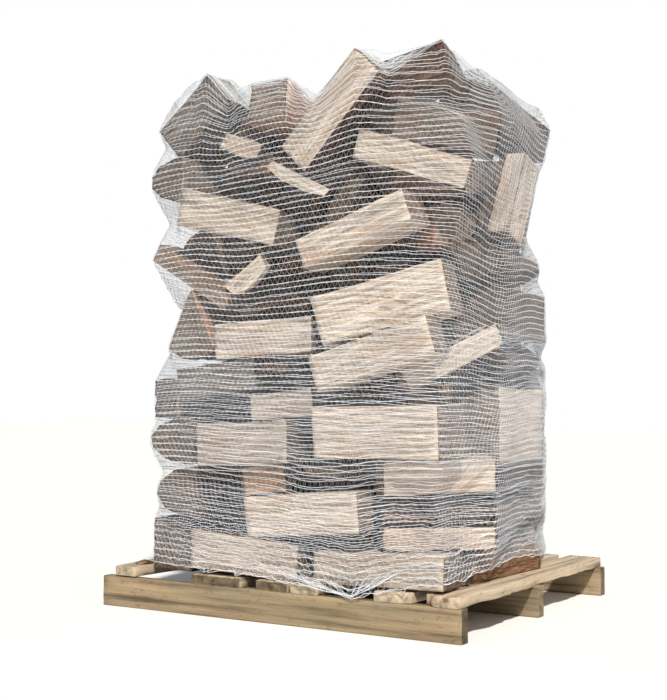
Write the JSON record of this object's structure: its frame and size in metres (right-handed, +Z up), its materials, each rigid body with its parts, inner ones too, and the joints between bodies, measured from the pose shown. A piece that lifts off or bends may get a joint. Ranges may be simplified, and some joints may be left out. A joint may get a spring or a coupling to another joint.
{
  "type": "pallet of firewood",
  "caption": "Split firewood logs heaped on a timber pallet and held by a knitted net wound round the load.",
  "frame": {"origin": "middle of the pallet's underside, on the floor", "axes": "+X along the stringers to the right of the front face, +Y from the front face to the back, +Z up"},
  "size_m": [1.219, 1.016, 1.6251],
  "materials": {
    "split_wood": "axe-split, rough",
    "bark_wood": "bark left on",
    "weathered_wood": "split and greyed",
    "pallet_timber": "rough sawn",
    "net_yarn": "knitted plastic tape"
  },
  "bodies": {
    "root": {"stringer_front": "pallet_timber", "stringer_middle": "pallet_timber", "stringer_back": "pallet_timber", "deck_board_1": "pallet_timber", "deck_board_2": "pallet_timber", "deck_board_3": "pallet_timber", "deck_board_4": "pallet_timber", "deck_board_5": "pallet_timber", "deck_board_6": "pallet_timber", "log_left_01": "bark_wood", "log_left_02": "weathered_wood", "log_left_03": "weathered_wood", "log_left_04": "bark_wood", "log_left_05": "bark_wood", "log_left_06": "bark_wood", "log_left_07": "bark_wood", "log_front_01": "split_wood", "log_front_02": "split_wood", "log_front_03": "split_wood", "log_front_04": "split_wood", "log_front_05": "split_wood", "log_front_06": "bark_wood", "log_front_07": "split_wood", "log_front_08": "split_wood", "log_front_09": "split_wood", "log_front_10": "weathered_wood", "log_front_11": "split_wood", "log_front_12": "split_wood", "log_front_13": "split_wood", "log_front_14": "split_wood", "log_front_15": "split_wood", "log_front_16": "bark_wood", "log_front_17": "weathered_wood", "log_front_18": "split_wood", "log_front_19": "split_wood", "log_front_20": "bark_wood", "log_front_21": "split_wood", "log_front_22": "weathered_wood", "log_front_23": "split_wood", "log_front_24": "bark_wood", "log_front_25": "weathered_wood", "log_front_26": "bark_wood", "log_front_27": "bark_wood", "log_right_01": "bark_wood", "log_right_02": "weathered_wood", "log_right_03": "bark_wood", "log_right_04": "split_wood", "log_right_05": "bark_wood", "log_right_06": "weathered_wood", "log_right_07": "weathered_wood", "log_right_08": "split_wood", "log_right_09": "weathered_wood", "log_right_10": "split_wood", "logs_inner_left": "split_wood", "logs_inner_right": "split_wood", "logs_back_left": "split_wood", "logs_back_right": "split_wood", "logs_back_corner": "split_wood", "logs_right_corner": "split_wood", "net": "net_yarn"}
  },
  "joints": []
}
